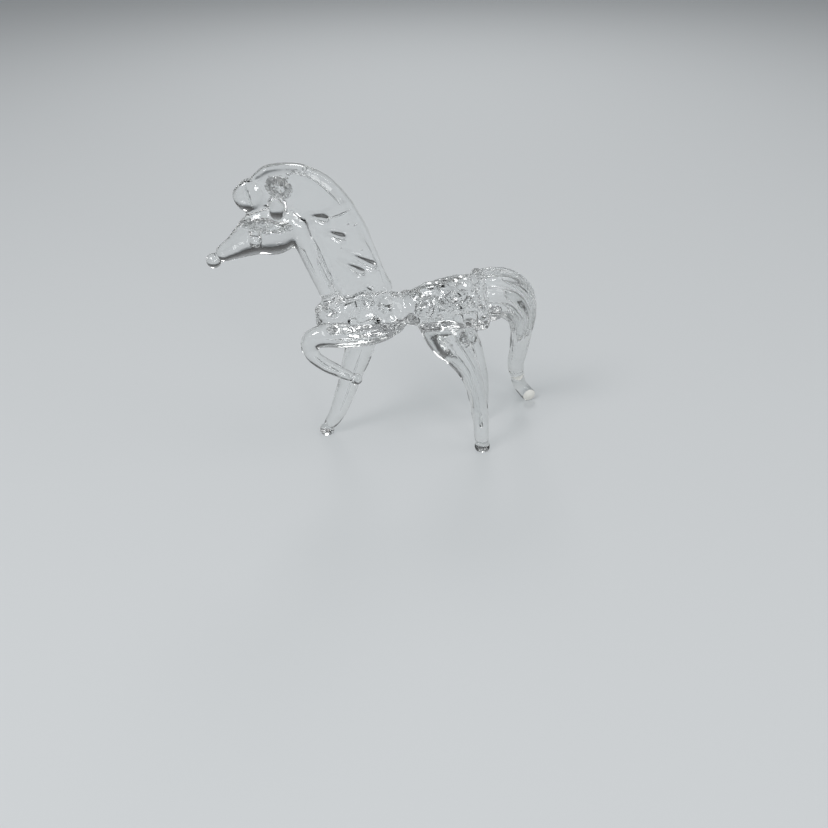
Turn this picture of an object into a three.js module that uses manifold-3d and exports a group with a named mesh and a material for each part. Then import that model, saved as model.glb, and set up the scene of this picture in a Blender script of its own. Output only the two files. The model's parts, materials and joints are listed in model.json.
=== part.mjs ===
// A clear lampworked glass horse with a raised foreleg and a tail that reaches the ground.
// Millimetres, +Z up, ground at Z 0. The horse looks toward -X and its left side faces -Y.
import * as THREE from 'three'
import { mergeVertices } from 'three/addons/utils/BufferGeometryUtils.js'
import Module from 'manifold-3d'

// Driving dimensions in millimetres
const seam = 0.3

// Trunk, its axis running from the breast over the waist to the hip
const trunkHeight = 32
const barrelLength = 14.2
const barrelRadius = 5.2
const rumpRadius = 5.7
const rumpRise = 1.1
const waistRadius = 3.4
const barrelLobes = 7
const barrelLobeDepth = 0.32
const shoulderLength = 15.7
const shoulderRadius = 4.1
const breastRadius = 3.4
const breastDrop = 0.9
const hipWrapRadius = 1.15

// Neck and head
const neckLength = 17.2
const neckLean = 20
const neckRadius = 1.85
const neckSet = 1.1
const collarRadius = 2.35
const collarHeight = 1.5
const cheekForward = 3.9
const cheekDrop = 0.6
const headLength = 14.1
const headDip = 24
const browRise = 0.9
const cheekDepth = 9.5
const cheekWidth = 5.6
const muzzleRadius = 1.7
const noseRadius = 1.5
const eyeRadius = 0.95
const earLength = 2.9
const earRadius = 1.3

// Mane
const maneThickness = 4.4
const maneWeb = 1.7
const maneDepth = 10.7
const crestRise = 9.3
const forelockLength = 5.4
const forelockDepth = 6.6
const forelockThickness = 3.2
const markRadius = 1.3
const markTailRadius = 0.4
const markDepth = 0.65

// Legs
const forearmRadius = 2.4
const forearmDrop = 2.6
const cannonRadius = 1.3
const raisedHoofRadius = 1.3
const raisedOut = 5
const kneeReach = 4.9
const kneeDrop = 4
const cannonReach = 9.9
const raisedHoofRise = 18.7
const legRadius = 1.85
const thighDepth = 8.2
const hoofRadius = 1.65
const hoofHeight = 2.2
const foreStance = 3.85
const hindStance = 6.3
const foreFootReach = 2.2
const hindFootReach = 1.8
const rightHindSetBack = 1.6

// Tail
const tailReach = 11.5
const tailRise = 1.1
const tailBendHeight = 22.9
const tailTipHeight = 8.2
const tailRootDepth = 11.6
const tailRadius = 1.95
const tailSwing = 12
const tailFlutes = 10
const tailFluteDepth = 1.3
const tailKick = 0.7
const tipRadius = 1.65
const tipLength = 3.6
const tipTurn = 2.9

const glassColour = 0xdde5e6

const wasm = await Module()
wasm.setup()

// A point of the horse: X along it, Y across it, Z up
function point(x, y, z) {
  return new THREE.Vector3(x, y, z)
}

// One cross-section of a drawn rod: half depth in the plane of its bend, half width across
function section(at, deep, wide = deep) {
  return { at, deep, wide }
}

// A value part of the way from one end of a length to the other
function between(a, b, share) {
  return a + (b - a) * share
}

// A point on a section outline, rounder at power 2 and flatter at higher powers
function outline(angle, power) {
  const c = Math.cos(angle)
  const s = Math.sin(angle)
  return [Math.sign(c) * Math.abs(c) ** (2 / power), Math.sign(s) * Math.abs(s) ** (2 / power)]
}

// A closed rod through its sections, with a dome or a flat cut at each end
function rod(sections, grow, form = {}) {
  const { sides = 16, spans = 4, power = 2, start = 0.9, end = 0.9, domeRings = 3 } = form
  const { flutes = 0, depth = 0, turn = 0, fade = 0, dish = 0, sideways = point(0, 1, 0) } = form
  const path = new THREE.CatmullRomCurve3(sections.map((one) => one.at), false, 'centripetal')
  const sizes = new THREE.SplineCurve(sections.map((one) => new THREE.Vector2(one.deep, one.wide)))
  const rings = (sections.length - 1) * spans
  const positions = []
  const index = []

  // A ring at one place of the path, moved along it and shrunk for the domes
  function ring(share, along, shrink) {
    const centre = path.getPoint(share)
    const ahead = path.getTangent(share)
    const across = sideways.clone()
    across.addScaledVector(ahead, -ahead.dot(sideways)).normalize()
    const inPlane = new THREE.Vector3().crossVectors(across, ahead)
    const size = sizes.getPoint(share)
    const thin = Math.min(size.x, size.y) + grow
    centre.addScaledVector(ahead, along * thin)
    if (shrink === 0) {
      positions.push(centre.x, centre.y, centre.z)
      return
    }
    for (let side = 0; side < sides; side += 1) {
      const angle = (side / sides) * Math.PI * 2
      const wave = Math.abs(Math.cos((flutes * angle + turn * share) / 2)) - 0.65
      const [a, b] = outline(angle, power)
      const mean = (size.x + size.y) / 2
      const ripple = 1 + (depth / mean) * (1 - fade * share) * wave
      const web = 1 - dish * (1 - a ** 6)
      const corner = centre.clone()
      corner.addScaledVector(inPlane, shrink * a * (size.x * ripple + grow))
      corner.addScaledVector(across, shrink * b * (size.y * ripple * web + grow))
      positions.push(corner.x, corner.y, corner.z)
    }
  }

  // The rings of one dome, from its pole to the rod or back
  function dome(share, reach, towardRod) {
    for (let step = 0; step < domeRings; step += 1) {
      const tilt = ((towardRod ? step : domeRings - 1 - step) / domeRings) * (Math.PI / 2)
      const shrink = Math.sin(tilt)
      ring(share, reach * Math.cos(tilt), shrink < 0.01 ? 0 : shrink)
    }
  }

  let bands = rings + 1
  if (start > 0) {
    dome(0, -start, true)
    bands += domeRings - 1
  } else {
    ring(0, grow > 0 ? -grow / (sections[0].deep + grow) : 0, 0)
  }
  for (let step = 0; step <= rings; step += 1) {
    ring(step / rings, 0, 1)
  }
  if (end > 0) {
    dome(1, end, false)
    bands += domeRings - 1
  } else {
    ring(1, 0, 0)
  }

  const last = positions.length / 3 - 1
  for (let side = 0; side < sides; side += 1) {
    const next = (side + 1) % sides
    index.push(0, 1 + next, 1 + side)
    for (let band = 0; band < bands - 1; band += 1) {
      const low = 1 + band * sides
      const high = low + sides
      index.push(low + side, low + next, high + next)
      index.push(low + side, high + next, high + side)
    }
    const top = 1 + (bands - 1) * sides
    index.push(top + side, top + next, last)
  }
  const geometry = new THREE.BufferGeometry()
  geometry.setAttribute('position', new THREE.Float32BufferAttribute(positions, 3))
  geometry.setIndex(index)
  return geometry
}

// A round bead
function bead(centre, radius, grow, sides = 16) {
  const geometry = new THREE.SphereGeometry(radius + grow, sides, Math.round(sides * 0.7))
  geometry.translate(centre.x, centre.y, centre.z)
  return geometry
}

// A flat-soled bead standing on the ground
function footBead(centre, grow) {
  const profile = [
    [0, 0],
    [hoofRadius * 0.86, 0],
    [hoofRadius, hoofHeight * 0.3],
    [hoofRadius * 0.95, hoofHeight * 0.65],
    [hoofRadius * 0.7, hoofHeight * 0.92],
    [0, hoofHeight],
  ]
  const grown = profile.map(([r, z]) => {
    return new THREE.Vector2(r > 0 ? r + grow : 0, z > 0 ? z + grow : -grow)
  })
  const geometry = new THREE.LatheGeometry(grown, 16)
  geometry.rotateX(Math.PI / 2)
  geometry.translate(centre.x, centre.y, 0)
  return geometry
}

// A closed solid from a geometry
function solid(geometry) {
  const bare = geometry.clone()
  bare.deleteAttribute('normal')
  bare.deleteAttribute('uv')
  const merged = mergeVertices(bare, 1e-4)
  const corners = merged.getIndex().array
  const kept = []
  for (let i = 0; i < corners.length; i += 3) {
    const [a, b, c] = [corners[i], corners[i + 1], corners[i + 2]]
    if (a !== b && b !== c && c !== a) {
      kept.push(a, b, c)
    }
  }
  return new wasm.Manifold(new wasm.Mesh({
    numProp: 3,
    vertProperties: new Float32Array(merged.getAttribute('position').array),
    triVerts: new Uint32Array(kept),
  }))
}

// The main body of a cut solid, without any crumb
function mainBody(shape) {
  return shape.decompose().sort((a, b) => b.volume() - a.volume())[0]
}

// Landmarks
const waist = point(0, 0, trunkHeight)
const hip = point(waist.x + barrelLength, 0, trunkHeight + rumpRise)
const breast = point(waist.x - shoulderLength, 0, trunkHeight - breastDrop)
const lean = THREE.MathUtils.degToRad(neckLean)
const neckFoot = point(breast.x + neckSet, 0, breast.z + breastRadius)
const dip = THREE.MathUtils.degToRad(headDip)

// A point measured up along the neck and back from its axis
function neckPoint(up, back, y = 0) {
  const x = neckFoot.x - up * Math.sin(lean) + back * Math.cos(lean)
  const z = neckFoot.z + up * Math.cos(lean) + back * Math.sin(lean)
  return point(x, y, z)
}

const poll = neckPoint(neckLength, 0)
const cheek = point(poll.x - cheekForward, 0, poll.z - cheekDrop)

// A point measured along the head from the cheek and up from its axis
function headPoint(forward, up, y = 0) {
  const x = cheek.x - forward * Math.cos(dip) - up * Math.sin(dip)
  const z = cheek.z - forward * Math.sin(dip) + up * Math.cos(dip)
  return point(x, y, z)
}

// A place on the trunk axis between the waist and the hip
function onBarrel(share, drop = 0, y = 0) {
  return point(between(waist.x, hip.x, share), y, between(waist.z, hip.z, share) - drop)
}

// A place on the shoulder axis between the waist and the breast
function onShoulder(share, drop = 0, y = 0) {
  return point(between(waist.x, breast.x, share), y, between(waist.z, breast.z, share) - drop)
}

// Trunk pieces
function barrel(grow) {
  const sections = [
    section(onBarrel(0), waistRadius),
    section(onBarrel(0.32), between(waistRadius, barrelRadius, 0.6)),
    section(onBarrel(0.7), barrelRadius, barrelRadius * 0.96),
    section(onBarrel(1), rumpRadius, rumpRadius * 0.88),
  ]
  const lobes = { sides: barrelLobes * 4, flutes: barrelLobes, depth: barrelLobeDepth, turn: 2.4 }
  return rod(sections, grow, { ...lobes, start: 0.35, end: 0.3 })
}

function hipWrap(grow) {
  const geometry = new THREE.TorusGeometry(rumpRadius * 0.94, hipWrapRadius + grow, 10, 28)
  geometry.rotateY(Math.PI / 2)
  geometry.scale(1, 0.86, 1)
  geometry.rotateY(-0.12)
  geometry.translate(hip.x + hipWrapRadius, 0, hip.z)
  return geometry
}

function shoulder(grow) {
  const sections = [
    section(onShoulder(-0.08), waistRadius * 0.9),
    section(onShoulder(0.3), shoulderRadius, shoulderRadius * 0.95),
    section(onShoulder(0.7), shoulderRadius, shoulderRadius * 0.98),
    section(onShoulder(1), breastRadius, breastRadius * 0.95),
  ]
  return rod(sections, grow, { sides: 18, start: 0.3, end: 0.85 })
}

// Neck and head pieces
function neckCollar(grow) {
  const sections = [
    section(neckPoint(-collarHeight * 0.3, 0), collarRadius),
    section(neckPoint(collarHeight * 0.5, 0), collarRadius),
  ]
  return rod(sections, grow, { start: 0.5, end: 0.3 })
}

function neck(grow) {
  const sections = [
    section(neckPoint(0, 0), neckRadius),
    section(neckPoint(neckLength * 0.35, -0.15), neckRadius),
    section(neckPoint(neckLength * 0.7, -0.1), neckRadius * 1.05),
    section(neckPoint(neckLength, 0), neckRadius * 1.15),
  ]
  return rod(sections, grow)
}

function head(grow) {
  const deep = cheekDepth / 2
  const wide = cheekWidth / 2
  const slim = (share) => between(deep, muzzleRadius, share)
  const sections = [
    section(headPoint(-cheekForward * 0.9, -browRise * 0.8), deep * 0.74, wide * 0.75),
    section(headPoint(0, 0), deep, wide),
    section(headPoint(headLength * 0.26, browRise), deep * 0.95, wide * 0.96),
    section(headPoint(headLength * 0.48, browRise * 0.8), slim(0.52), wide * 0.8),
    section(headPoint(headLength * 0.65, browRise * 0.55), slim(0.78), wide * 0.68),
    section(headPoint(headLength * 0.86, browRise * 0.5), muzzleRadius, muzzleRadius * 0.92),
  ]
  return rod(sections, grow, { sides: 18, start: 0.7, end: 0.5 })
}

function noseBead(grow) {
  return bead(headPoint(headLength, 0), noseRadius, grow)
}

// Side is -1 for the left of the horse and 1 for its right
function eye(side) {
  const outward = (cheekWidth / 2) * 0.9
  const centre = headPoint(headLength * 0.3, browRise * 0.6, side * outward)
  return (grow) => bead(centre, eyeRadius, grow, 12)
}

function ear(side) {
  const behind = cheekForward * 0.5
  const foot = headPoint(-behind, cheekDepth * 0.36, side * cheekWidth * 0.28)
  const rise = cheekDepth * 0.36 + earLength
  const tip = headPoint(-behind - earLength * 0.5, rise, side * cheekWidth * 0.44)
  const middle = foot.clone().lerp(tip, 0.5)
  const sections = [
    section(foot, earRadius),
    section(middle, earRadius * 1.1, earRadius * 0.85),
    section(tip, earRadius * 0.45, earRadius * 0.4),
  ]
  return (grow) => rod(sections, grow, { sides: 12 })
}

// Mane plates, measured from the neck: a flat web inside a thick rim with a rounded edge
const plateForm = { sides: 24, power: 4, dish: 1 - maneWeb / maneThickness }

function maneLower(grow) {
  const half = maneDepth / 2
  const thin = maneThickness / 2
  const back = neckRadius + half
  const sections = [
    section(neckPoint(-neckLength * 0.12, back + half * 0.2), half * 0.78, thin),
    section(neckPoint(neckLength * 0.12, back), half * 0.95, thin),
    section(neckPoint(neckLength * 0.43, back - half * 0.04), half, thin),
    section(neckPoint(neckLength * 0.74, back - half * 0.06), half, thin),
    section(neckPoint(neckLength * 0.95, back - half * 0.12), half * 0.98, thin),
  ]
  return rod(sections, grow, plateForm)
}

function maneUpper(grow) {
  const half = maneDepth / 2
  const thin = maneThickness / 2
  const crest = neckLength + crestRise
  const sections = [
    section(neckPoint(neckLength * 0.92, half + neckRadius * 0.75), half * 0.98, thin),
    section(neckPoint(between(neckLength, crest, 0.36), half), half * 0.95, thin),
    section(neckPoint(between(neckLength, crest, 0.76), half * 0.45), half * 0.9, thin),
    section(neckPoint(between(neckLength, crest, 0.97), -half * 0.2), half * 0.74, thin),
    section(neckPoint(crest, -half * 0.55), half * 0.6, thin),
  ]
  return rod(sections, grow, plateForm)
}

function forelock(grow) {
  const start = -maneDepth * 0.27
  const half = forelockDepth / 2
  const up = neckLength + crestRise - half * 0.14
  const sections = [
    section(neckPoint(up, start), half * 0.95, forelockThickness * 0.34),
    section(neckPoint(up, start - forelockLength * 0.5), half, forelockThickness * 0.5),
    section(neckPoint(up, start - forelockLength * 0.85), half * 0.78, forelockThickness * 0.45),
  ]
  return rod(sections, grow, { sides: 18, power: 2.4, end: 1 })
}

// The teardrop marks pressed into both faces of the mane, each from its tail to its head
function maneMarks() {
  const places = [
    [[1.08, 0.06], [0.95, 0.36]],
    [[0.85, 0.2], [0.68, 0.49]],
    [[0.57, 0.36], [0.22, 0.8]],
    [[0.46, 0.22], [0.2, 0.56]],
    [[0.13, 0.4], [-0.16, 0.62]],
  ]
  const marks = []
  for (const [tailPlace, headPlace] of places) {
    for (const side of [-1, 1]) {
      const press = ([up, back], radius) => {
        const out = side * (maneWeb / 2 + radius * (1 - markDepth / markRadius))
        return section(neckPoint(neckLength * up, neckRadius + maneDepth * back, out), radius)
      }
      const sections = [press(tailPlace, markTailRadius), press(headPlace, markRadius)]
      marks.push(rod(sections, 0, { sides: 12 }))
    }
  }
  return marks
}

// The raised left foreleg folds at the knee and hangs back to a small bead
const knee = point(breast.x - kneeReach, -raisedOut, breast.z - kneeDrop)
const raisedHoof = point(knee.x + cannonReach, -raisedOut, raisedHoofRise)

// A place on the raised leg, back and up from the knee by shares of the forearm's radius
function nearKnee(back, up) {
  return point(knee.x + back * forearmRadius, -raisedOut, knee.z + up * forearmRadius)
}

function leftForeleg(grow) {
  const forearm = [
    section(onShoulder(0.12, forearmDrop * 0.85, -raisedOut * 0.52), forearmRadius * 0.72),
    section(onShoulder(0.38, forearmDrop * 1.1, -raisedOut * 0.8), forearmRadius * 0.94),
    section(onShoulder(0.72, forearmDrop, -raisedOut * 0.93), forearmRadius, forearmRadius * 0.88),
    section(nearKnee(1.75, 0.85), forearmRadius, forearmRadius * 0.88),
    section(nearKnee(0.45, 0.55), forearmRadius * 0.82, forearmRadius * 0.76),
    section(nearKnee(0.22, -0.15), forearmRadius * 0.7),
  ]
  const below = (back, down) => {
    return point(knee.x + cannonReach * back, -raisedOut, between(knee.z, raisedHoof.z, down))
  }
  const cannon = [
    section(nearKnee(0.4, 0.3), forearmRadius * 0.74),
    section(nearKnee(0.45, -0.65), forearmRadius * 0.64),
    section(below(0.33, 0.5), cannonRadius * 1.1),
    section(below(0.66, 0.76), cannonRadius),
    section(raisedHoof, cannonRadius * 0.85),
  ]
  return [rod(forearm, grow), rod(cannon, grow)]
}

function leftForeHoof(grow) {
  return bead(raisedHoof, raisedHoofRadius, grow)
}

// Standing legs
const rightForeFoot = point(breast.x - foreFootReach, foreStance, 0)

function rightForeleg(grow) {
  const foot = rightForeFoot
  const top = onShoulder(0.52, shoulderRadius * 0.45, foreStance * 0.6)
  const onLeg = (along, out, down) => {
    const x = between(top.x, foot.x, along)
    return point(x, foreStance * out, between(top.z, hoofHeight * 0.8, down))
  }
  const sections = [
    section(top, legRadius * 1.6, legRadius * 1.25),
    section(onLeg(0.14, 0.8, 0.28), legRadius * 1.75, legRadius * 1.25),
    section(onLeg(0.36, 0.88, 0.5), legRadius * 1.4, legRadius * 1.15),
    section(onLeg(0.54, 0.93, 0.7), legRadius * 1.18, legRadius * 1.08),
    section(onLeg(0.74, 0.97, 0.87), legRadius),
    section(onLeg(0.95, 1, 1), legRadius * 0.8),
  ]
  return rod(sections, grow)
}

// A hind leg on one side, its foot set back by a distance
function hindFoot(side, setBack) {
  return point(hip.x + hindFootReach + setBack, side * hindStance, 0)
}

function hindLeg(side, setBack) {
  const foot = hindFoot(side, setBack)
  const top = onBarrel(0.36, barrelRadius * 0.15, side * hindStance * 0.44)
  const half = thighDepth / 2
  const onLeg = (along, out, down) => {
    const x = between(top.x, foot.x, along) + setBack * 0.3
    return point(x, side * hindStance * out, between(top.z, hoofHeight * 0.8, down))
  }
  const ankle = point(foot.x, foot.y, hoofHeight * 0.8)
  const sections = [
    section(top, half * 0.88, legRadius * 0.95),
    section(onLeg(0.28, 0.74, 0.15), half, legRadius * 1.12),
    section(onLeg(0.56, 0.87, 0.29), half * 0.76, legRadius * 1.12),
    section(onLeg(0.77, 0.95, 0.45), legRadius * 1.17, legRadius * 1.08),
    section(onLeg(0.86, 0.98, 0.58), legRadius * 1.08, legRadius * 1.03),
    section(onLeg(0.93, 1, 0.74), legRadius),
    section(ankle, legRadius * 0.88),
  ]
  return (grow) => rod(sections, grow)
}

function bellyBead(grow) {
  const middle = onBarrel(0.9, rumpRadius * 1.16, -hindStance * 0.46)
  return bead(middle, legRadius * 1.15, grow)
}

// Tail, arched from the rump, swung to the right and bent outward at the ground
const tailTop = point(hip.x + tailReach * 0.3, tailSwing * 0.03, hip.z + tailRise)
const tailBend = point(hip.x + tailReach, tailSwing * 0.45, tailBendHeight)
const tailEnd = point(tailBend.x + tailKick, tailSwing * 1.02, tailTipHeight)

// A place on the hanging length of the tail
function tailFall(inward, share) {
  const fall = tailBend.clone().lerp(tailEnd, share)
  return point(fall.x - inward * tailRadius, fall.y, fall.z)
}

function tail(grow) {
  const half = tailRootDepth / 2
  const onArch = (along, out, down) => {
    const x = between(tailTop.x, tailBend.x, along)
    return point(x, tailSwing * out, between(tailTop.z, tailBend.z, down))
  }
  const over = onArch(0.5, 0.12, 0.12)
  const outer = onArch(0.87, 0.25, 0.49)
  const sections = [
    section(point(hip.x, 0, hip.z + tailRise * 0.8), half * 0.8, half * 0.74),
    section(tailTop, half, half * 0.72),
    section(over, half * 0.88, half * 0.64),
    section(outer, half * 0.6, half * 0.52),
    section(tailBend, tailRadius * 1.22, tailRadius * 1.15),
    section(tailFall(0.1, 0.43), tailRadius * 1.07, tailRadius),
    section(tailFall(0.15, 0.78), tailRadius),
    section(tailEnd, tailRadius * 0.9),
  ]
  const reeds = { sides: tailFlutes * 4, flutes: tailFlutes, depth: tailFluteDepth, fade: 0.85 }
  return rod(sections, grow, { ...reeds, start: 0.2, end: 0.5 })
}

// The end of the tail, turned along the ground toward the left of the horse
const tipEnd = point(tailEnd.x + tipLength, tailEnd.y, tipRadius * 0.92)

// A place on the bend of the tail's end, swung out beyond it
function tipBend(along, down, out) {
  const x = between(tailEnd.x, tipEnd.x, along)
  return point(x, tailEnd.y + out * tipTurn, between(tailEnd.z, tipEnd.z, down))
}

function tailTip(grow) {
  const sections = [
    section(tipBend(0, -0.1, 0), tailRadius * 0.86),
    section(tipBend(0.28, 0.5, 0.68), tipRadius * 1.02),
    section(tipBend(0.58, 0.86, 1), tipRadius * 1.02),
    section(tipBend(0.86, 1, 0.64), tipRadius * 1.02),
    section(tipEnd, tipRadius),
  ]
  return rod(sections, grow, { sideways: point(1, 0, 0), end: 0 })
}

// Each piece with the pieces that it is melted onto, in the order of making
const pieces = [
  ['barrel', barrel, []],
  ['shoulder', shoulder, ['barrel']],
  ['hip_wrap', hipWrap, ['barrel']],
  ['neck_collar', neckCollar, ['shoulder']],
  ['head', head, []],
  ['neck', neck, ['neck_collar', 'shoulder', 'head']],
  ['nose_bead', noseBead, ['head']],
  ['left_eye', eye(-1), ['head']],
  ['right_eye', eye(1), ['head']],
  ['mane_lower', maneLower, ['neck', 'neck_collar', 'shoulder', 'barrel', 'head']],
  ['mane_upper', maneUpper, ['head', 'neck', 'mane_lower']],
  ['forelock', forelock, ['head', 'mane_upper']],
  ['left_ear', ear(-1), ['head', 'neck', 'mane_upper', 'mane_lower']],
  ['right_ear', ear(1), ['head', 'neck', 'mane_upper', 'mane_lower']],
  ['left_fore_hoof', leftForeHoof, []],
  ['left_foreleg', leftForeleg, ['shoulder', 'barrel', 'left_fore_hoof']],
  ['right_fore_hoof', (grow) => footBead(rightForeFoot, grow), []],
  ['right_foreleg', rightForeleg, ['shoulder', 'barrel', 'right_fore_hoof', 'left_foreleg']],
  ['left_hind_hoof', (grow) => footBead(hindFoot(-1, 0), grow), []],
  ['right_hind_hoof', (grow) => footBead(hindFoot(1, rightHindSetBack), grow), []],
  ['left_hind_leg', hindLeg(-1, 0), ['barrel', 'shoulder', 'hip_wrap', 'left_hind_hoof', 'left_foreleg']],
  ['right_hind_leg', hindLeg(1, rightHindSetBack), ['barrel', 'shoulder', 'hip_wrap', 'right_hind_hoof']],
  ['belly_bead', bellyBead, ['barrel', 'hip_wrap', 'left_hind_leg', 'right_hind_leg']],
  ['tail', tail, ['barrel', 'hip_wrap', 'left_hind_leg', 'right_hind_leg', 'belly_bead']],
  ['tail_tip', tailTip, ['tail']],
]

// The whole blank of a piece before it is cut, grown by a distance
function blank(shape, grow) {
  const made = [shape(grow)].flat()
  return made.map(solid).reduce((whole, one) => whole.add(one))
}

const blanks = new Map(pieces.map(([name, shape]) => [name, blank(shape, seam)]))
const groundSize = 200
const groundBlock = new THREE.BoxGeometry(groundSize, groundSize, groundSize)
const ground = solid(groundBlock.translate(0, 0, -groundSize / 2))

const horse = new THREE.Group()
horse.name = 'horse'
for (const [name, shape, neighbours] of pieces) {
  let body = blank(shape, 0)
  if (name === 'mane_lower' || name === 'mane_upper') {
    for (const mark of maneMarks()) {
      body = body.subtract(solid(mark))
    }
  }
  for (const neighbour of neighbours) {
    body = body.subtract(blanks.get(neighbour))
  }
  if (name === 'tail_tip') {
    body = body.subtract(ground)
  }
  const mesh = mainBody(body).getMesh()
  const geometry = new THREE.BufferGeometry()
  geometry.setAttribute('position', new THREE.BufferAttribute(new Float32Array(mesh.vertProperties), 3))
  geometry.setIndex(new THREE.BufferAttribute(new Uint32Array(mesh.triVerts), 1))
  geometry.computeVertexNormals()
  const glass = new THREE.MeshStandardMaterial({ color: glassColour, roughness: 0.04, metalness: 0 })
  const node = new THREE.Mesh(geometry, glass)
  node.name = name
  horse.add(node)
}

// The origin sits under the middle of the horse, on the ground
const room = new THREE.Box3().setFromObject(horse)
horse.position.set(-(room.min.x + room.max.x) / 2, -(room.min.y + room.max.y) / 2, 0)

const group = new THREE.Group()
group.name = 'glass_horse'
group.add(horse)
export default group
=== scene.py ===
import json
import math
import random

import bpy
from bpy.props import FloatProperty, FloatVectorProperty, IntProperty, PointerProperty
from mathutils import Euler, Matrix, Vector
from mathutils.bvhtree import BVHTree

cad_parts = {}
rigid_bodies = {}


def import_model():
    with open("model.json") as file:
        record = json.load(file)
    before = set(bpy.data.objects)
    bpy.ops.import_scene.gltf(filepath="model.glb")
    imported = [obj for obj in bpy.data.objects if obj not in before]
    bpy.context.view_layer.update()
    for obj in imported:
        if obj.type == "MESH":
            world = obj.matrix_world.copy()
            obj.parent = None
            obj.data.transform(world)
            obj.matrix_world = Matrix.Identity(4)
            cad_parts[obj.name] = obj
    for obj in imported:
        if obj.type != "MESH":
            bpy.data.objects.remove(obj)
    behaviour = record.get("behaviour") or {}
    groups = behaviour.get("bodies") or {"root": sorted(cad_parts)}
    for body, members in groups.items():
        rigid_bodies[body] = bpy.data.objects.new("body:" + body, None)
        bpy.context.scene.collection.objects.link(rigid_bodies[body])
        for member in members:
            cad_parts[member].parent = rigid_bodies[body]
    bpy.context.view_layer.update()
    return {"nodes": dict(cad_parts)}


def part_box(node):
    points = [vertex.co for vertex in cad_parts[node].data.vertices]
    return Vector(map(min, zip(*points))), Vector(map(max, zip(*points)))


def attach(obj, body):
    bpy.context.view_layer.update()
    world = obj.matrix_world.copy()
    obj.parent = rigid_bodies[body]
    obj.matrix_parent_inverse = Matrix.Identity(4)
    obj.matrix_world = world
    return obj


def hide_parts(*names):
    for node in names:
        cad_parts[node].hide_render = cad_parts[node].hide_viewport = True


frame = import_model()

bl_info = {
    "name": "Lampworked Glass Horse",
    "version": (1, 0, 0),
    "blender": (4, 5, 0),
    "location": "3D View > Sidebar > Glass Horse",
    "description": "Melts the gathers of a clear glass horse together and sets it on a pale stage",
    "category": "Add Mesh",
}

MM = 0.001

# The gathers that flow together first, the ones pressed on, and the beads that are set last
FLOWED = (
    "barrel", "shoulder", "neck", "head", "forelock", "left_foreleg", "right_foreleg",
    "left_hind_leg", "right_hind_leg", "tail", "tail_tip",
)
PRESSED = ("mane_lower", "mane_upper")
BEADS = ("hip_wrap", "neck_collar", "nose_bead", "belly_bead")
FACE_BEADS = ("left_eye", "right_eye", "left_ear", "right_ear")
HOOVES = ("left_fore_hoof", "right_fore_hoof", "left_hind_hoof", "right_hind_hoof")
LEGS = ("left_foreleg", "right_foreleg", "left_hind_leg", "right_hind_leg")
TRUNK = ("barrel", "hip_wrap", "shoulder")

# How far a piece reaches past the skin of its gather when it is parted off
BEAD_REACH = 0.55 * MM
GATHER_REACH = 1.0 * MM
CUTTER_GRAIN = 0.3 * MM

# Points closer than these are one point, in a merged copy and in a flat cut
WELD = 0.001 * MM
CUT_WELD = 0.0001 * MM

# How strongly one pass of flowing evens the surface, and the last passes after the crimping
FLOW_FACTOR = 0.5
LAST_PASSES = 2

# The folds between the pinches, as a share of the pinches' length and depth
FOLD_SHARE = 0.6

# The sharpest bend that is still shaded smooth
SMOOTH_ANGLE = math.radians(50)

# How much of the tail's end is nipped off, and how little an upright face's normal rises
NIP_INSET = 0.3 * MM
UPRIGHT = 0.5

# How a rod is followed: the way across the horse, the length of a step, how far it pulls to the
# middle of the rod, and how firmly it keeps its heading
WIDTH = Vector((0, 1, 0))
FOLLOW_STEP = 0.5 * MM
FOLLOW_PULL = 0.5
FOLLOW_KEEP = 3

# The way in which skins are counted, to tell whether a point lies inside a piece
PROBE = Vector((0.36, 0.48, 0.8))

# The places on a line of air beside a rod, and the share of its radius that its ends keep
AIR_KNOTS = 6
AIR_POINT = 0.08

# The bubbles to copy: how finely they are divided, how crinkled they are, and their seed
SEED_MODELS = ((2, 0.35, 3), (2, 0.5, 5))
POCKET_MODEL = (4, 0.25, 9)

# Strewn bubbles: how slim they are, as shares of their half length, how far they tilt in radians,
# how many places are tried in a piece, and the seed
SLIMNESS = (0.3, 0.7)
TILT = 0.6
STREW_TRIES = 4000
STREW_SEED = 7

# The floor, and how far it lies under the soles
FLOOR_RADIUS = 4
FLOOR_DROP = 0.02 * MM

# The light from all round, by the sine of its height
SKY = (
    (0.0, (0.05, 0.05, 0.05, 1)), (0.15, (0.1, 0.1, 0.1, 1)), (0.45, (0.3, 0.31, 0.32, 1)),
)

# The lamps: the name, the place, the width and the power in watts, and the point they all face
LAMPS = (
    ("key", (-0.3, -0.25, 0.45), 0.2, 1.5),
    ("fill", (0.35, -0.1, 0.4), 0.3, 0.45),
    ("back", (0.05, 0.45, 0.4), 0.2, 0.8),
    ("front", (0.2, -0.5, 0.22), 0.16, 0.75),
)
LAMP_TARGET = Vector((0, 0, 0.03))

# The camera at the photograph's viewing angle: the place, the turn in degrees, the lens and the
# sensor in millimetres, and the nearest distance it sees
CAMERA_PLACE = (-0.00684, -0.17151, 0.11444)
CAMERA_TURN = (57.12, 0.74, -4.57)
CAMERA_LENS = 39.24
CAMERA_SENSOR = 36
CAMERA_NEAR = 0.01

# Material slots of a piece, after the glass itself
SEAM_SLOT, NIPPED_SLOT = 1, 2

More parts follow.
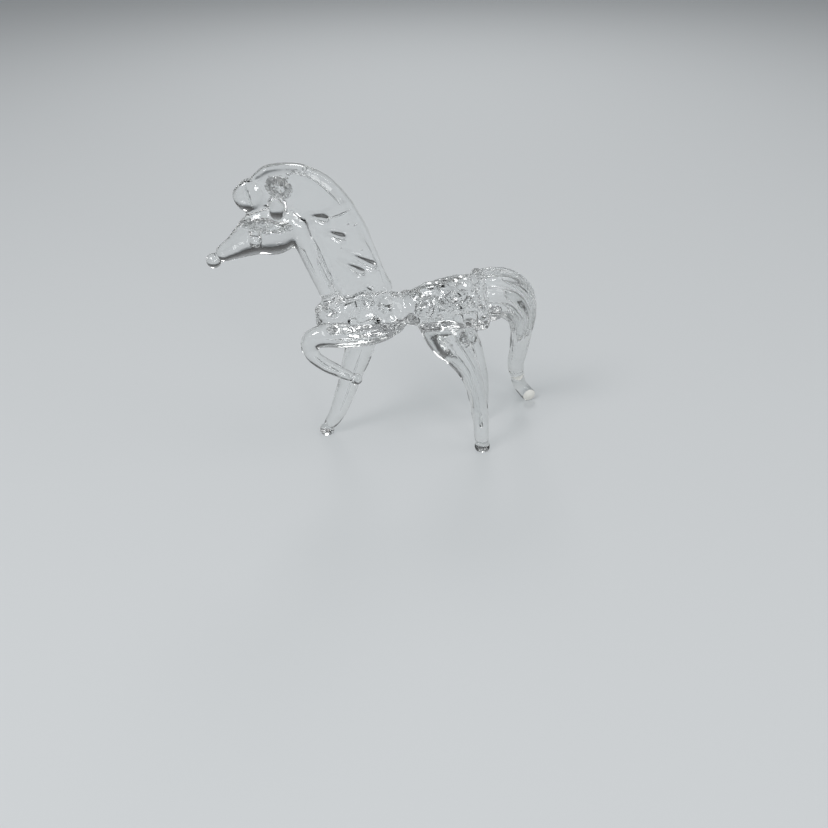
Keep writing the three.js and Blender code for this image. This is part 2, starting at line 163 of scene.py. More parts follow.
# The drawn rods that hold lines of air: the piece, where its middle line is picked up, as shares
# of the piece's box, and the way it runs from there
RODS = {
    "neck": ("neck", (0.7, 0.5, 0.1), (-0.35, 0, 0.94)),
    "forearm": ("left_foreleg", (0.83, 0.69, 0.82), (-1, -0.3, 0)),
    "cannon": ("left_foreleg", (0.12, 0.39, 0.52), (0.6, 0, -0.8)),
    "left_hind_leg": ("left_hind_leg", (0.24, 0.77, 0.92), (0.6, -0.3, -0.75)),
    "right_hind_leg": ("right_hind_leg", (0.3, 0.4, 0.9), (0.6, 0.2, -0.75)),
    "right_foreleg": ("right_foreleg", (0.69, 0.54, 0.7), (-0.3, 0, -0.95)),
    "tail": ("tail", (0.82, 0.83, 0.13), (0, -0.3, 0.95)),
}

# Air drawn out along a rod: the rod, the first and last share of its length, how far off the
# middle line in the plane of the bend and across it, as shares of the half sizes, and the radius
# in millimetres
AIR_LINES = (
    ("neck", 0.0, 0.45, -0.1, -0.2, 0.4),
    ("neck", 0.0, 0.7, -0.6, -0.1, 0.34),
    ("neck", 0.25, 0.7, 0.45, -0.1, 0.2),
    ("forearm", 0.0, 0.5, 0.5, -0.35, 0.26),
    ("forearm", 0.0, 0.56, 0.1, -0.5, 0.32),
    ("forearm", 0.1, 0.5, -0.35, -0.4, 0.24),
    ("cannon", 0.05, 0.8, 0.1, -0.2, 0.22),
    ("left_hind_leg", 0.0, 0.5, 0.35, -0.3, 0.22),
    ("left_hind_leg", 0.0, 0.65, -0.1, -0.35, 0.18),
    ("right_hind_leg", 0.0, 0.5, 0.1, -0.2, 0.2),
    ("right_foreleg", 0.0, 0.8, 0.1, -0.2, 0.2),
    ("tail", 0.42, 0.86, -0.6, -0.2, 0.7),
    ("tail", 0.35, 0.86, -0.2, -0.3, 0.7),
    ("tail", 0.3, 0.86, 0.2, -0.3, 0.7),
    ("tail", 0.4, 0.86, 0.6, -0.2, 0.6),
)

# Air drawn out in the mane and the forelock: the piece, the path over its face as shares of the
# piece's box, and the radius in millimetres
AIR_STROKES = (
    ("mane_upper", ((0.41, 0.85), (0.56, 0.78), (0.69, 0.62), (0.81, 0.41), (0.88, 0.26)), 0.16),
    ("mane_lower", ((0.21, 0.85), (0.34, 0.87), (0.44, 0.9), (0.53, 0.94)), 0.25),
    ("mane_lower", ((0.67, 0.65), (0.75, 0.5), (0.84, 0.31), (0.9, 0.14)), 0.14),
    ("forelock", ((0.41, 0.78), (0.42, 0.57), (0.47, 0.36), (0.53, 0.18)), 0.4),
)

# Flattened, crinkled pockets of air: the piece, the middle as shares of its box, the half sizes
# in millimetres and the lean in degrees
AIR_POCKETS = (
    ("head", (0.6, 0.41, 0.67), (4.0, 1.0, 1.1), 6),
    ("mane_upper", (0.27, 0.5, 0.61), (2.2, 0.4, 1.7), 30),
)

# Clouds of small bubbles: the piece, the middle as shares of its box, the half sizes of the
# cloud, how many, and their least and greatest half length, with sizes in millimetres
AIR_CLOUDS = (
    ("head", (0.59, 0.27, 0.66), (4.0, 1.2, 1.2), 48, 0.1, 0.34),
    ("head", (0.49, 0.16, 0.41), (0.5, 0.4, 0.5), 1, 0.4, 0.45),
    ("mane_upper", (0.28, 0.5, 0.74), (2.0, 0.8, 0.9), 12, 0.1, 0.3),
    ("mane_upper", (0.49, 0.5, 0.86), (2.6, 0.8, 0.7), 16, 0.1, 0.28),
    ("tail_tip", (0.31, 0.26, 0.7), (1.0, 0.9, 0.9), 7, 0.12, 0.3),
)

# Seeds of air strewn through a whole piece: the piece, how many, and their least and greatest
# half length in millimetres
AIR_SEEDS = (
    ("barrel", 18, 0.5, 1.6),
    ("shoulder", 9, 0.5, 1.3),
    ("belly_bead", 8, 0.15, 0.4),
    ("hip_wrap", 9, 0.2, 0.5),
    ("neck_collar", 5, 0.12, 0.3),
    ("mane_lower", 6, 0.12, 0.3),
)


class HorseSizes(bpy.types.PropertyGroup):
    """Sizes of the melted glass"""

    swell: FloatProperty(
        name="Swell", description="How far each gather swells in the flame to close its seams",
        default=0.2 * MM, unit="LENGTH", precision=5,
    )
    settle: FloatProperty(
        name="Settle", description="How far the melted body draws back in as it cools",
        default=0.17 * MM, unit="LENGTH", precision=5,
    )
    grain: FloatProperty(
        name="Grain", description="Edge length of the faces of the melted body",
        default=0.2 * MM, unit="LENGTH", precision=5,
    )
    flow: IntProperty(
        name="Flow", description="How long the large gathers flow together in the flame",
        default=25, min=1,
    )
    press: IntProperty(
        name="Press", description="How long the pressed plates of the mane flow",
        default=14, min=1,
    )
    set_beads: IntProperty(
        name="Set Beads", description="How long the small beads flow into the body",
        default=6, min=1,
    )
    ripple: FloatProperty(
        name="Ripple", description="Height of the gentle waves of hand-drawn glass",
        default=0.25 * MM, unit="LENGTH", precision=5,
    )
    ripple_length: FloatProperty(
        name="Ripple Length", description="Distance between those waves",
        default=4 * MM, unit="LENGTH", precision=5,
    )
    crimp: FloatProperty(
        name="Crimp", description="Depth of the pinches in the trunk",
        default=0.85 * MM, unit="LENGTH", precision=5,
    )
    crimp_length: FloatProperty(
        name="Crimp Length", description="Distance between the pinches",
        default=2.8 * MM, unit="LENGTH", precision=5,
    )
    crimp_fade: FloatProperty(
        name="Crimp Fade", description="Distance over which the pinches die out beyond the trunk",
        default=0.6 * MM, unit="LENGTH", precision=5,
    )
    air_cover: FloatProperty(
        name="Air Cover", description="Least glass between a bubble and the skin",
        default=0.25 * MM, unit="LENGTH", precision=5,
    )


class HorseColours(bpy.types.PropertyGroup):
    """Colours of the glass and of the stage"""

    glass: FloatVectorProperty(
        name="Glass", description="Tint of the clear glass",
        default=(0.99, 0.995, 0.993), size=3, subtype="COLOR", min=0, max=1,
    )
    striae: FloatVectorProperty(
        name="Striae", description="Tint of the faint streaks in the glass",
        default=(0.955, 0.97, 0.972), size=3, subtype="COLOR", min=0, max=1,
    )
    shade: FloatVectorProperty(
        name="Shade", description="Tint that one skin of the glass gives to the light on the floor",
        default=(0.85, 0.86, 0.86), size=3, subtype="COLOR", min=0, max=1,
    )
    # Painted shade: this colour darkens the glass where it is seen edge on, in place of the dark edges
    # that the surroundings give it
    edge: FloatVectorProperty(
        name="Edge", description="Tint of the glass where it is seen edge on",
        default=(0.5, 0.5, 0.47), size=3, subtype="COLOR", min=0, max=1,
    )
    nipped: FloatVectorProperty(
        name="Nipped End", description="Colour of the frosted end of the tail",
        default=(0.95, 0.94, 0.89), size=3, subtype="COLOR", min=0, max=1,
    )
    floor: FloatVectorProperty(
        name="Floor", description="Colour of the floor",
        default=(0.62, 0.64, 0.65), size=3, subtype="COLOR", min=0, max=1,
    )
    backdrop: FloatVectorProperty(
        name="Backdrop", description="Colour behind the floor",
        default=(0.17, 0.176, 0.18), size=3, subtype="COLOR", min=0, max=1,
    )


class Flow:
    """One output of a node, so that shader maths reads as plain arithmetic."""

    def __init__(self, tree, socket):
        self.tree = tree
        self.socket = socket

    def _math(self, operation, first, second):
        return self.tree.node("ShaderNodeMath", {"operation": operation}, {0: first, 1: second})

    def __add__(self, other):
        return self._math("ADD", self, other)

    def __mul__(self, other):
        return self._math("MULTIPLY", self, other)

    __radd__ = __add__


class NodeTree:
    """A cleared node tree that adds a node, its settings and its links in one call."""

    def __init__(self, owner):
        owner.use_nodes = True
        self.tree = owner.node_tree
        self.tree.nodes.clear()

    def node(self, kind, settings=None, sockets=None, out=0):
        made = self.tree.nodes.new(kind)
        for name, value in (settings or {}).items():
            if name == "stops":
                ramp = made.color_ramp
                while len(ramp.elements) < len(value):
                    ramp.elements.new(1)
                for element, (place, colour) in zip(ramp.elements, value):
                    element.position = place
                    element.color = colour
            else:
                setattr(made, name, value)
        for key, value in (sockets or {}).items():
            if isinstance(value, Flow):
                self.tree.links.new(value.socket, made.inputs[key])
            else:
                made.inputs[key].default_value = value
        return Flow(self, made.outputs[out]) if made.outputs else None


def pick(*objects):
    """Select only these objects and make the first one active."""
    bpy.ops.object.select_all(action="DESELECT")
    for one in objects:
        one.select_set(True)
    bpy.context.view_layer.objects.active = objects[0]


def modify(piece, kind, **settings):
    """Add a modifier to a piece, set it and apply it."""
    pick(piece)
    bpy.ops.object.modifier_add(type=kind)
    modifier = piece.modifiers[-1]
    for name, value in settings.items():
        setattr(modifier, name, value)
    bpy.ops.object.modifier_apply(modifier=modifier.name)


def duplicate(piece, name):
    """A copy of a piece with its own mesh."""
    pick(piece)
    bpy.ops.object.duplicate()
    copy = bpy.context.active_object
    copy.name = name
    copy.data.name = name
    return copy


def copy_gather(node):
    """A merged copy of one gather of the frame, free of the frame."""
    copy = duplicate(frame["nodes"][node], "gather_" + node)
    bpy.ops.object.parent_clear(type="CLEAR")
    for key in list(copy.keys()):
        del copy[key]
    copy.data.materials.clear()
    bpy.ops.object.mode_set(mode="EDIT")
    bpy.ops.mesh.select_all(action="SELECT")
    bpy.ops.mesh.remove_doubles(threshold=WELD)
    bpy.ops.object.mode_set(mode="OBJECT")
    return copy


def swell(piece, reach):
    """Move the whole surface of a piece outward."""
    modify(piece, "DISPLACE", strength=reach, mid_level=0)


def join(name, pieces):
    """Join pieces into one object."""
    pick(*pieces)
    bpy.ops.object.join()
    joined = bpy.context.active_object
    joined.name = name
    joined.data.name = name
    return joined


def keep_largest(piece):
    """Drop loose crumbs and keep the main body of a piece."""
    name = piece.name
    pick(piece)
    bpy.ops.object.mode_set(mode="EDIT")
    bpy.ops.mesh.select_all(action="SELECT")
    bpy.ops.mesh.separate(type="LOOSE")
    bpy.ops.object.mode_set(mode="OBJECT")
    shells = sorted(bpy.context.selected_objects, key=lambda one: len(one.data.vertices))
    main_body = shells.pop()
    for crumb in shells:
        bpy.data.objects.remove(crumb)
    main_body.name = name
    main_body.data.name = name
    return main_body


def weigh(piece, group, nodes, others, fade):
    """Weigh the vertices of a piece by how close they lie to some gathers and not to others."""
    weights = piece.vertex_groups.new(name=group)
    shapes = bpy.context.evaluated_depsgraph_get()
    gathers, rest = (
        [BVHTree.FromObject(frame["nodes"][node], shapes) for node in names]
        for names in (nodes, others)
    )

    def reach(trees, place):
        near = [tree.find_nearest(place, fade)[3] for tree in trees]
        return min((distance for distance in near if distance is not None), default=fade) / fade

    for vertex in piece.data.vertices:
        close = 1 - reach(gathers, vertex.co)
        if close > 0:
            weights.add([vertex.index], close * reach(rest, vertex.co), "REPLACE")


def noise(name, kind, scale, **settings):
    """A texture that pushes glass in and out."""
    made = bpy.data.textures.new(name, kind)
    made.noise_scale = scale
    for key, value in settings.items():
        setattr(made, key, value)
    return made


def fire_polished_glass(colours):
    """Clear glass with faint streaks and painted shade at its edges, which lets light through to the
    floor.
    """
    material = bpy.data.materials.new("fire_polished_glass")
    tree = NodeTree(material)
    place = tree.node("ShaderNodeTexCoord", out="Object")
    streaks = tree.node("ShaderNodeTexNoise", None, {"Vector": place, "Scale": 320, "Detail": 3}, "Fac")
    body = tree.node("ShaderNodeMix", {"data_type": "RGBA"}, {
        0: streaks, 6: (*colours.glass, 1), 7: (*colours.striae, 1),
    }, 2)
    # Painted shade: the glass colour turns to the edge colour where the surface is seen edge on
    edge_shade_mask = tree.node("ShaderNodeLayerWeight", None, {"Blend": 0.3}, "Facing")
    edge_shaded_glass = tree.node("ShaderNodeMix", {"data_type": "RGBA"}, {
        0: edge_shade_mask, 6: body, 7: (*colours.edge, 1),
    }, 2)
    swirls = tree.node("ShaderNodeTexNoise", None, {"Vector": place, "Scale": 900, "Detail": 1}, "Fac")
    waves = tree.node("ShaderNodeBump", None, {"Strength": 0.12, "Distance": 0.0004, "Height": swirls})
    glass = tree.node("ShaderNodeBsdfPrincipled", None, {
        "Base Color": edge_shaded_glass,
        "Roughness": streaks * 0.02,
        "IOR": 1.5,
        "Transmission Weight": 1.0,
        "Normal": waves,
    })
    clear = tree.node("ShaderNodeBsdfTransparent", None, {"Color": (*colours.shade, 1)})
    shadow = tree.node("ShaderNodeLightPath", out="Is Shadow Ray")
    diffuse = tree.node("ShaderNodeLightPath", out="Is Diffuse Ray")
    surface = tree.node("ShaderNodeMixShader", None, {0: shadow + diffuse, 1: glass, 2: clear})
    tree.node("ShaderNodeOutputMaterial", None, {"Surface": surface})
    return material


def fused_seam():
    """Two gathers fused into one body, so light passes the seam unbent."""
    material = bpy.data.materials.new("fused_seam")
    tree = NodeTree(material)
    clear = tree.node("ShaderNodeBsdfTransparent", None, {"Color": (1, 1, 1, 1)})
    tree.node("ShaderNodeOutputMaterial", None, {"Surface": clear})
    return material


def nipped_end(colours):
    """The broken, frosted end left where the tail was nipped off its rod."""
    material = bpy.data.materials.new("nipped_end")
    tree = NodeTree(material)
    place = tree.node("ShaderNodeTexCoord", out="Object")
    chips = tree.node("ShaderNodeTexNoise", None, {"Vector": place, "Scale": 2600, "Detail": 4}, "Fac")
    frost = tree.node("ShaderNodeMix", {"data_type": "RGBA"}, {
        0: chips, 6: (*colours.nipped, 1), 7: tuple(0.8 * part for part in colours.nipped) + (1,),
    }, 2)
    relief = tree.node("ShaderNodeBump", None, {"Strength": 0.5, "Distance": 0.0002, "Height": chips})
    rough = tree.node("ShaderNodeBsdfPrincipled", None, {
        "Base Color": frost, "Roughness": 0.55 + chips * 0.3, "Normal": relief,
    })
    tree.node("ShaderNodeOutputMaterial", None, {"Surface": rough})
    return material


class HORSE_OT_melt(bpy.types.Operator):
    """Melt the gathers into one body, press the mane on and set the beads"""

    bl_idname = "horse.melt"
    bl_label = "Melt Gathers"
    bl_options = {"REGISTER", "UNDO"}

    def execute(self, context):
        sizes = context.scene.horse_sizes
        colours = context.scene.horse_colours
        stages = (
            (FLOWED, sizes.flow),
            (PRESSED, sizes.press),
            (BEADS + FACE_BEADS + HOOVES, sizes.set_beads),
        )
        body = None
        for nodes, passes in stages:
            gathers = [copy_gather(node) for node in nodes]
            for gather in gathers:
                swell(gather, sizes.swell)
            if body:
                gathers.append(body)
            body = join("melt", gathers)
            modify(body, "REMESH", mode="VOXEL", voxel_size=sizes.grain)
            modify(body, "SMOOTH", factor=FLOW_FACTOR, iterations=passes)
        body = keep_largest(body)
        swell(body, -sizes.settle)
        body.data.materials.clear()
        body.data.materials.append(fire_polished_glass(colours))
        body.data.materials.append(fused_seam())
        return {"FINISHED"}


class HORSE_OT_crimp(bpy.types.Operator):
    """Pinch the trunk with a crimping tool, ripple the drawn glass and flatten the soles"""

    bl_idname = "horse.crimp"
    bl_label = "Crimp Trunk"
    bl_options = {"REGISTER", "UNDO"}

    def execute(self, context):
        sizes = context.scene.horse_sizes
        body = bpy.data.objects["melt"]
        ripples = noise("ripples", "CLOUDS", sizes.ripple_length, noise_depth=0)
        modify(body, "DISPLACE", texture=ripples, texture_coords="LOCAL", strength=sizes.ripple)
        weigh(body, "trunk", TRUNK, LEGS, sizes.crimp_fade)
        pinches = noise("pinches", "VORONOI", sizes.crimp_length, noise_intensity=1)
        folds = noise("folds", "CLOUDS", sizes.crimp_length * FOLD_SHARE, noise_depth=0)
        for texture, depth in ((pinches, sizes.crimp), (folds, sizes.crimp * FOLD_SHARE)):
            modify(body, "DISPLACE", texture=texture, texture_coords="LOCAL", strength=depth,
                   vertex_group="trunk")
        modify(body, "SMOOTH", factor=FLOW_FACTOR, iterations=LAST_PASSES)
        body.vertex_groups.clear()
        pick(body)
        bpy.ops.object.mode_set(mode="EDIT")
        bpy.ops.mesh.select_all(action="SELECT")
        bpy.ops.mesh.bisect(
            plane_co=(0, 0, 0), plane_no=(0, 0, 1), use_fill=True, clear_inner=True,
            threshold=CUT_WELD,
        )
        bpy.ops.object.mode_set(mode="OBJECT")
        return {"FINISHED"}


def part_off(node, reach):
    """Part one gather off the melted body along the seam of the frame."""
    body = bpy.data.objects["melt"]
    cutter = copy_gather(node)
    modify(cutter, "REMESH", mode="VOXEL", voxel_size=CUTTER_GRAIN)
    swell(cutter, reach)
    modify(cutter, "REMESH", mode="VOXEL", voxel_size=CUTTER_GRAIN)
    cutter.data.materials.clear()
    for material in body.data.materials:
        cutter.data.materials.append(material)
    cutter.data.polygons.foreach_set("material_index", [SEAM_SLOT] * len(cutter.data.polygons))
    piece = duplicate(body, "glass_" + node)
    for one, operation in ((piece, "INTERSECT"), (body, "DIFFERENCE")):
        modify(one, "BOOLEAN", object=cutter, operation=operation, solver="MANIFOLD",
               material_mode="INDEX")
    bpy.data.objects.remove(cutter)
    return finish_piece(piece, node)


def finish_piece(piece, node):
    """Clear a piece of crumbs, shade it and let it stand for its gather."""
    piece = keep_largest(piece)
    pick(piece)
    bpy.ops.object.shade_smooth_by_angle(angle=SMOOTH_ANGLE)
    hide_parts(node)
    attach(piece, "root")
    return piece


class HORSE_OT_beads(bpy.types.Operator):
    """Part off the hip wrap, the neck collar, the nose bead and the belly bead"""

    bl_idname = "horse.beads"
    bl_label = "Beads and Wraps"
    bl_options = {"REGISTER", "UNDO"}

    def execute(self, context):
        for node in BEADS:
            part_off(node, BEAD_REACH)
        return {"FINISHED"}


class HORSE_OT_face(bpy.types.Operator):
    """Part off the eyes and the ears"""

    bl_idname = "horse.face"
    bl_label = "Eyes and Ears"
    bl_options = {"REGISTER", "UNDO"}

    def execute(self, context):
        for node in FACE_BEADS:
            part_off(node, BEAD_REACH)
        return {"FINISHED"}


class HORSE_OT_hooves(bpy.types.Operator):
    """Part off the four hooves"""

    bl_idname = "horse.hooves"
    bl_label = "Hooves"
    bl_options = {"REGISTER", "UNDO"}

    def execute(self, context):
        for node in HOOVES:
            part_off(node, BEAD_REACH)
        return {"FINISHED"}


def nip(piece, node, inset):
    """Cut the drawn-out end of a piece off flat and leave it frosted."""
    facings = {}
    for face in frame["nodes"][node].data.polygons:
        facings.setdefault(tuple(round(part, 2) for part in face.normal), []).append(face)
    upright = [faces for facing, faces in facings.items() if abs(facing[2]) < UPRIGHT]
    end = max(upright, key=lambda faces: sum(face.area for face in faces))
    facing = end[0].normal.copy()
    middle = sum((face.center for face in end), Vector()) / len(end)
    piece.data.materials.append(nipped_end(bpy.context.scene.horse_colours))
    pick(piece)
    bpy.ops.object.mode_set(mode="EDIT")
    bpy.ops.mesh.select_all(action="SELECT")
    bpy.ops.mesh.bisect(
        plane_co=middle - facing * inset, plane_no=facing, use_fill=True, clear_outer=True,
        threshold=CUT_WELD,
    )
    piece.active_material_index = NIPPED_SLOT
    bpy.ops.object.material_slot_assign()
    bpy.ops.object.mode_set(mode="OBJECT")


class HORSE_OT_tail(bpy.types.Operator):
    """Part off the tail and its end, and nip the end off flat"""

    bl_idname = "horse.tail"
    bl_label = "Tail"
    bl_options = {"REGISTER", "UNDO"}

    def execute(self, context):
        nip(part_off("tail_tip", GATHER_REACH), "tail_tip", NIP_INSET)
        part_off("tail", GATHER_REACH)
        return {"FINISHED"}


class HORSE_OT_mane(bpy.types.Operator):
    """Part off the forelock and the two plates of the mane"""

    bl_idname = "horse.mane"
    bl_label = "Mane"
    bl_options = {"REGISTER", "UNDO"}

    def execute(self, context):
        for node in ("forelock", "mane_upper", "mane_lower"):
            part_off(node, GATHER_REACH)
        return {"FINISHED"}


class HORSE_OT_head(bpy.types.Operator):
    """Part off the neck and the head"""

    bl_idname = "horse.head"
    bl_label = "Head and Neck"
    bl_options = {"REGISTER", "UNDO"}

    def execute(self, context):
        for node in ("neck", "head"):
            part_off(node, GATHER_REACH)
        return {"FINISHED"}


class HORSE_OT_legs(bpy.types.Operator):
    """Part off the four legs"""

    bl_idname = "horse.legs"
    bl_label = "Legs"
    bl_options = {"REGISTER", "UNDO"}

    def execute(self, context):
        for node in LEGS:
            part_off(node, GATHER_REACH)
        return {"FINISHED"}


class HORSE_OT_trunk(bpy.types.Operator):
    """Part the shoulder off, which leaves the barrel"""

    bl_idname = "horse.trunk"
    bl_label = "Trunk"
    bl_options = {"REGISTER", "UNDO"}

    def execute(self, context):
        part_off("shoulder", GATHER_REACH)
        barrel = bpy.data.objects["melt"]
        barrel.name = "glass_barrel"
        finish_piece(barrel, "barrel")
        return {"FINISHED"}


def air_model(fineness, crinkle, seed):
    """A bubble to copy, whose faces point into the air inside it."""
    bpy.ops.object.select_all(action="DESELECT")
    bpy.ops.mesh.primitive_ico_sphere_add(subdivisions=fineness, radius=1)
    bubble = bpy.context.active_object
    bpy.ops.object.mode_set(mode="EDIT")
    bpy.ops.mesh.select_all(action="SELECT")
    bpy.ops.transform.vertex_random(offset=crinkle, uniform=1, normal=1, seed=seed)
    bpy.ops.mesh.flip_normals()
    bpy.ops.object.mode_set(mode="OBJECT")
    bpy.ops.object.shade_smooth()
    bubble.data.materials.append(bpy.data.materials["fire_polished_glass"])
    return bubble


def blow(model, middle, half_sizes, turn):
    """One bubble in its place, copied from a model."""
    bubble = duplicate(model, "air")
    bubble.location = middle
    bubble.rotation_euler = turn
    bubble.scale = half_sizes
    bpy.ops.object.transform_apply(location=True, rotation=True, scale=True)
    return bubble


def in_box(node, share):
    """A place given by shares of a gather's box."""
    low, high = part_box(node)
    return Vector([a + (b - a) * part for a, b, part in zip(low, high, share)])


class Skin:
    """The skin of a piece, which says how much room for air lies round a point."""

    def __init__(self, node, cover):
        self.piece = bpy.data.objects["glass_" + node]
        self.cover = cover
        self.tree = BVHTree.FromObject(self.piece, bpy.context.evaluated_depsgraph_get())

    def holds(self, place):
        """Whether a point lies inside the piece, by counting the skins on a line from it."""
        crossings = 0
        while place:
            place = self.tree.ray_cast(place, PROBE)[0]
            if place:
                crossings += 1
                place = place + PROBE * WELD
        return crossings % 2 == 1

    def depth(self, place):
        """How deep a point lies under the skin; less than nothing outside it."""
        distance = self.tree.find_nearest(place)[3]
        return distance if self.holds(place) else -distance

    def room(self, place):
        """The radius that air can have at a point, which must lie inside the piece."""
        radius = self.depth(place) - self.cover
        if radius <= 0:
            raise RuntimeError("no room for air in " + self.piece.name)
        return radius

    def follow(self, place, ahead):
        """Follow a rod along its middle: each place, the ways out and across, and the half sizes."""
        line = []
        while self.holds(place):
            across = WIDTH - ahead * ahead.dot(WIDTH)
            ways = (ahead.cross(across).normalized(), across.normalized())
            halves = []
            for way in ways:
                one, other = (self.tree.ray_cast(place, end)[3] for end in (way, -way))
                place = place + way * (one - other) / 2 * FOLLOW_PULL
                halves.append((one + other) / 2)
            if line:
                ahead = (ahead * FOLLOW_KEEP + (place - line[-1][0]).normalized()).normalized()
            line.append((place, ways, halves))
            place = place + ahead * FOLLOW_STEP
        return line

    def trap(self, bubbles):
        """Take bubbles into the piece."""
        join(self.piece.name, [self.piece] + bubbles)


def beside(line, first, last, shares):
    """A path beside the middle line of a rod, off it by shares of the rod's half sizes."""
    path = []
    for knot in range(AIR_KNOTS):
        along = first + (last - first) * knot / (AIR_KNOTS - 1)
        place, ways, halves = line[round(along * (len(line) - 1))]
        path.append(sum((way * half * share for way, half, share in zip(ways, halves, shares)), place))
    return path


def draw_air(skin, path, radius):
    """A thin line of air along a path, pointed at both ends."""
    curve = bpy.data.curves.new("air", "CURVE")
    curve.dimensions = "3D"
    curve.resolution_u = 8
    curve.bevel_depth = radius
    curve.bevel_resolution = 2
    curve.use_fill_caps = True
    spline = curve.splines.new("BEZIER")
    spline.bezier_points.add(len(path) - 1)
    for index, (knot, place) in enumerate(zip(spline.bezier_points, path)):
        knot.co = place
        knot.handle_left_type = knot.handle_right_type = "AUTO"
        inner = 0 < index < len(path) - 1
        knot.radius = min(1, skin.room(place) / radius) if inner else AIR_POINT
    line = bpy.data.objects.new("air", curve)
    bpy.context.scene.collection.objects.link(line)
    pick(line)
    bpy.ops.object.convert(target="MESH")
    line = bpy.context.active_object
    bpy.ops.object.mode_set(mode="EDIT")
    bpy.ops.mesh.select_all(action="SELECT")
    bpy.ops.mesh.remove_doubles(threshold=WELD)
    bpy.ops.mesh.normals_make_consistent(inside=True)
    bpy.ops.object.mode_set(mode="OBJECT")
    bpy.ops.object.shade_smooth()
    line.data.materials.append(bpy.data.materials["fire_polished_glass"])
    return line


def strew(skin, low, high, count, least, greatest, chance):
    """Places and half lengths for bubbles strewn through a box, kept inside the piece."""
    found = []
    for _ in range(STREW_TRIES):
        if len(found) == count:
            break
        place = Vector([chance.uniform(a, b) for a, b in zip(low, high)])
        half = chance.uniform(least, greatest)
        apart = all((place - spot).length > half + other for spot, other in found)
        if apart and skin.depth(place) > half + skin.cover:
            found.append((place, half))
    return found


def drawn_air(skins):
    """The lines of air along the rods, and those in the mane and the forelock."""
    middles = {}
    for rod, (node, share, ahead) in RODS.items():
        middles[rod] = skins[node].follow(in_box(node, share), Vector(ahead).normalized())
    for rod, first, last, out, aside, radius in AIR_LINES:
        node = RODS[rod][0]
        path = beside(middles[rod], first, last, (out, aside))
        yield node, draw_air(skins[node], path, radius * MM)
    for node, shares, radius in AIR_STROKES:
        path = [in_box(node, (along, 0.5, up)) for along, up in shares]
        yield node, draw_air(skins[node], path, radius * MM)


def pocket_air(skins, pocket):
    """The flattened pockets of air, no thicker than the glass has room for."""
    for node, share, half_sizes, lean in AIR_POCKETS:
        place = in_box(node, share)
        sizes = Vector(half_sizes) * MM
        sizes.y = min(sizes.y, skins[node].room(place))
        yield node, blow(pocket, place, sizes, Euler((0, math.radians(lean), 0)))


def strewn_air(skins, seeds):
    """The bubbles strewn through whole pieces, and then those in clouds."""
    chance = random.Random(STREW_SEED)
    clouds = [(node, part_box(node), *rest) for node, *rest in AIR_SEEDS]
    for node, share, half_sizes, *rest in AIR_CLOUDS:
        place = in_box(node, share)
        reach = Vector(half_sizes) * MM
        clouds.append((node, (place - reach, place + reach), *rest))
    for node, (low, high), count, least, greatest in clouds:
        for place, half in strew(skins[node], low, high, count, least * MM, greatest * MM, chance):
            sizes = (half, half * chance.uniform(*SLIMNESS), half * chance.uniform(*SLIMNESS))
            turn = Euler([chance.uniform(-TILT, TILT) for _ in range(3)])
            yield node, blow(chance.choice(seeds), place, sizes, turn)


class HORSE_OT_air(bpy.types.Operator):
    """Trap seeds, lines and pockets of air in the glass"""

    bl_idname = "horse.air"
    bl_label = "Trapped Air"
    bl_options = {"REGISTER", "UNDO"}

    def execute(self, context):
        cover = context.scene.horse_sizes.air_cover
        seeds = [air_model(*model) for model in SEED_MODELS]
        pocket = air_model(*POCKET_MODEL)
        rows = (*RODS.values(), *AIR_STROKES, *AIR_POCKETS, *AIR_CLOUDS, *AIR_SEEDS)
        skins = {node: Skin(node, cover) for node in dict.fromkeys(row[0] for row in rows)}
        bubbles = {node: [] for node in skins}
        for air in (drawn_air(skins), pocket_air(skins, pocket), strewn_air(skins, seeds)):
            for node, bubble in air:
                bubbles[node].append(bubble)
        for node, skin in skins.items():
            skin.trap(bubbles[node])
        for model in (*seeds, pocket):
            bpy.data.objects.remove(model)
        return {"FINISHED"}


def pale_floor(colours):
    """Matt paint of the floor."""
    material = bpy.data.materials.new("pale_floor")
    tree = NodeTree(material)
    matt = tree.node("ShaderNodeBsdfPrincipled", None, {
        "Base Color": (*colours.floor, 1), "Roughness": 0.9, "Specular IOR Level": 0.1,
    })
    tree.node("ShaderNodeOutputMaterial", None, {"Surface": matt})
    return material


def set_floor(colours):
    """A round floor just under the soles."""
    bpy.ops.object.select_all(action="DESELECT")
    bpy.ops.mesh.primitive_circle_add(
        vertices=96, radius=FLOOR_RADIUS, fill_type="NGON", location=(0, 0, -FLOOR_DROP),
    )
    floor = bpy.context.active_object
    floor.name = "floor"
    floor.data.materials.append(pale_floor(colours))


def set_sky(colours):
    """Soft light from all round, with a plain backdrop for the camera alone."""
    world = bpy.data.worlds.new("studio")
    bpy.context.scene.world = world
    tree = NodeTree(world)
    direction = tree.node("ShaderNodeTexCoord", out="Generated")
    height = tree.node("ShaderNodeSeparateXYZ", None, {0: direction}, "Z")
    sky = tree.node("ShaderNodeValToRGB", {"stops": SKY}, {0: height})
    camera_ray = tree.node("ShaderNodeLightPath", out="Is Camera Ray")
    seen = tree.node("ShaderNodeMix", {"data_type": "RGBA"}, {
        0: camera_ray, 6: sky, 7: (*colours.backdrop, 1),
    }, 2)
    light = tree.node("ShaderNodeBackground", None, {"Color": seen, "Strength": 1.0})
    tree.node("ShaderNodeOutputWorld", None, {"Surface": light})


def set_lamps():
    """Round soft lamps that face the horse."""
    for name, place, width, power in LAMPS:
        data = bpy.data.lights.new(name, "AREA")
        data.shape = "DISK"
        data.size = width
        data.energy = power
        lamp = bpy.data.objects.new(name, data)
        bpy.context.scene.collection.objects.link(lamp)
        lamp.location = place
        aim = LAMP_TARGET - Vector(place)
        lamp.rotation_euler = aim.to_track_quat("-Z", "Y").to_euler()


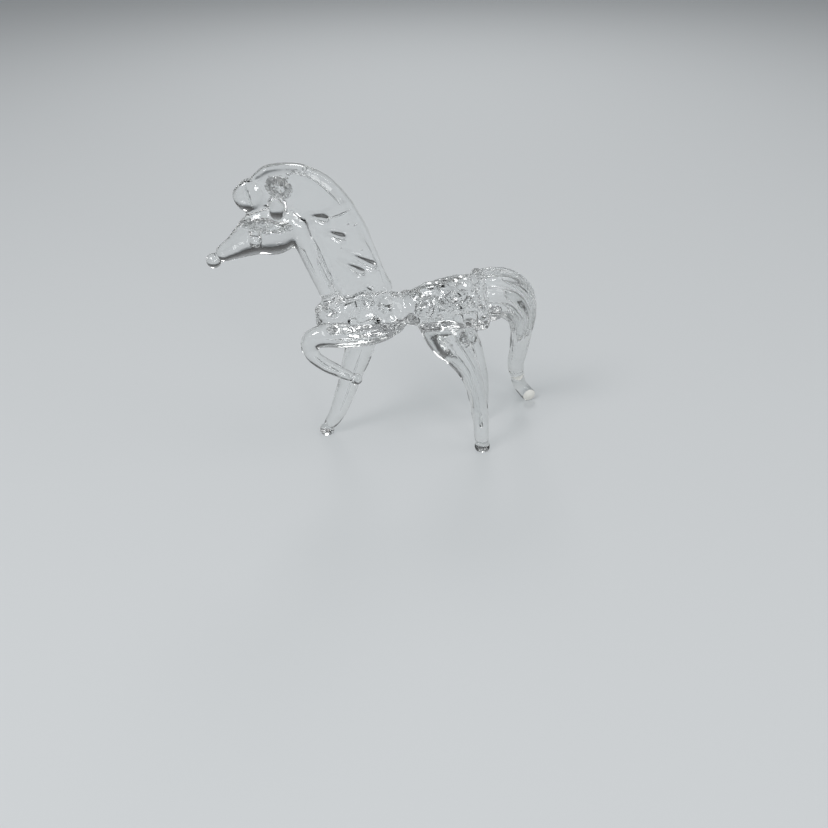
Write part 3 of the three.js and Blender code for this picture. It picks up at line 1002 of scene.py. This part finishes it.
def set_camera():
    """The camera at the photograph's viewing angle."""
    data = bpy.data.cameras.new("camera")
    data.lens = CAMERA_LENS
    data.sensor_width = CAMERA_SENSOR
    data.clip_start = CAMERA_NEAR
    camera = bpy.data.objects.new("camera", data)
    bpy.context.scene.collection.objects.link(camera)
    camera.location = CAMERA_PLACE
    camera.rotation_euler = Euler([math.radians(angle) for angle in CAMERA_TURN])
    bpy.context.scene.camera = camera


class HORSE_OT_stage(bpy.types.Operator):
    """Set the pale floor, the lamps and the camera"""

    bl_idname = "horse.stage"
    bl_label = "Set Stage"
    bl_options = {"REGISTER", "UNDO"}

    def execute(self, context):
        colours = context.scene.horse_colours
        set_floor(colours)
        set_sky(colours)
        set_lamps()
        set_camera()
        context.scene.view_settings.view_transform = "Standard"
        cycles = context.scene.cycles
        cycles.max_bounces = 24
        cycles.transmission_bounces = 24
        cycles.glossy_bounces = 8
        cycles.transparent_max_bounces = 48
        cycles.caustics_reflective = False
        cycles.caustics_refractive = False
        cycles.sample_clamp_indirect = 5
        return {"FINISHED"}


STEPS = (
    HORSE_OT_melt, HORSE_OT_crimp, HORSE_OT_beads, HORSE_OT_face, HORSE_OT_hooves, HORSE_OT_tail,
    HORSE_OT_legs, HORSE_OT_head, HORSE_OT_mane, HORSE_OT_trunk, HORSE_OT_air, HORSE_OT_stage,
)


class HORSE_PT_panel(bpy.types.Panel):
    """Sizes, colours and steps of the glass horse"""

    bl_idname = "HORSE_PT_panel"
    bl_label = "Glass Horse"
    bl_space_type = "VIEW_3D"
    bl_region_type = "UI"
    bl_category = "Glass Horse"

    def draw(self, context):
        for group in (context.scene.horse_sizes, context.scene.horse_colours):
            box = self.layout.box()
            for name in group.__annotations__:
                box.prop(group, name)
        for step in STEPS:
            self.layout.operator(step.bl_idname)


CLASSES = (HorseSizes, HorseColours, *STEPS, HORSE_PT_panel)


def register():
    for one in CLASSES:
        bpy.utils.register_class(one)
    bpy.types.Scene.horse_sizes = PointerProperty(type=HorseSizes)
    bpy.types.Scene.horse_colours = PointerProperty(type=HorseColours)


def unregister():
    del bpy.types.Scene.horse_colours
    del bpy.types.Scene.horse_sizes
    for one in reversed(CLASSES):
        bpy.utils.unregister_class(one)


def main():
    register()
    bpy.ops.horse.melt()
    bpy.ops.horse.crimp()
    bpy.ops.horse.beads()
    bpy.ops.horse.face()
    bpy.ops.horse.hooves()
    bpy.ops.horse.tail()
    bpy.ops.horse.legs()
    bpy.ops.horse.head()
    bpy.ops.horse.mane()
    bpy.ops.horse.trunk()
    bpy.ops.horse.air()
    bpy.ops.horse.stage()


if __name__ == "__main__":
    main()
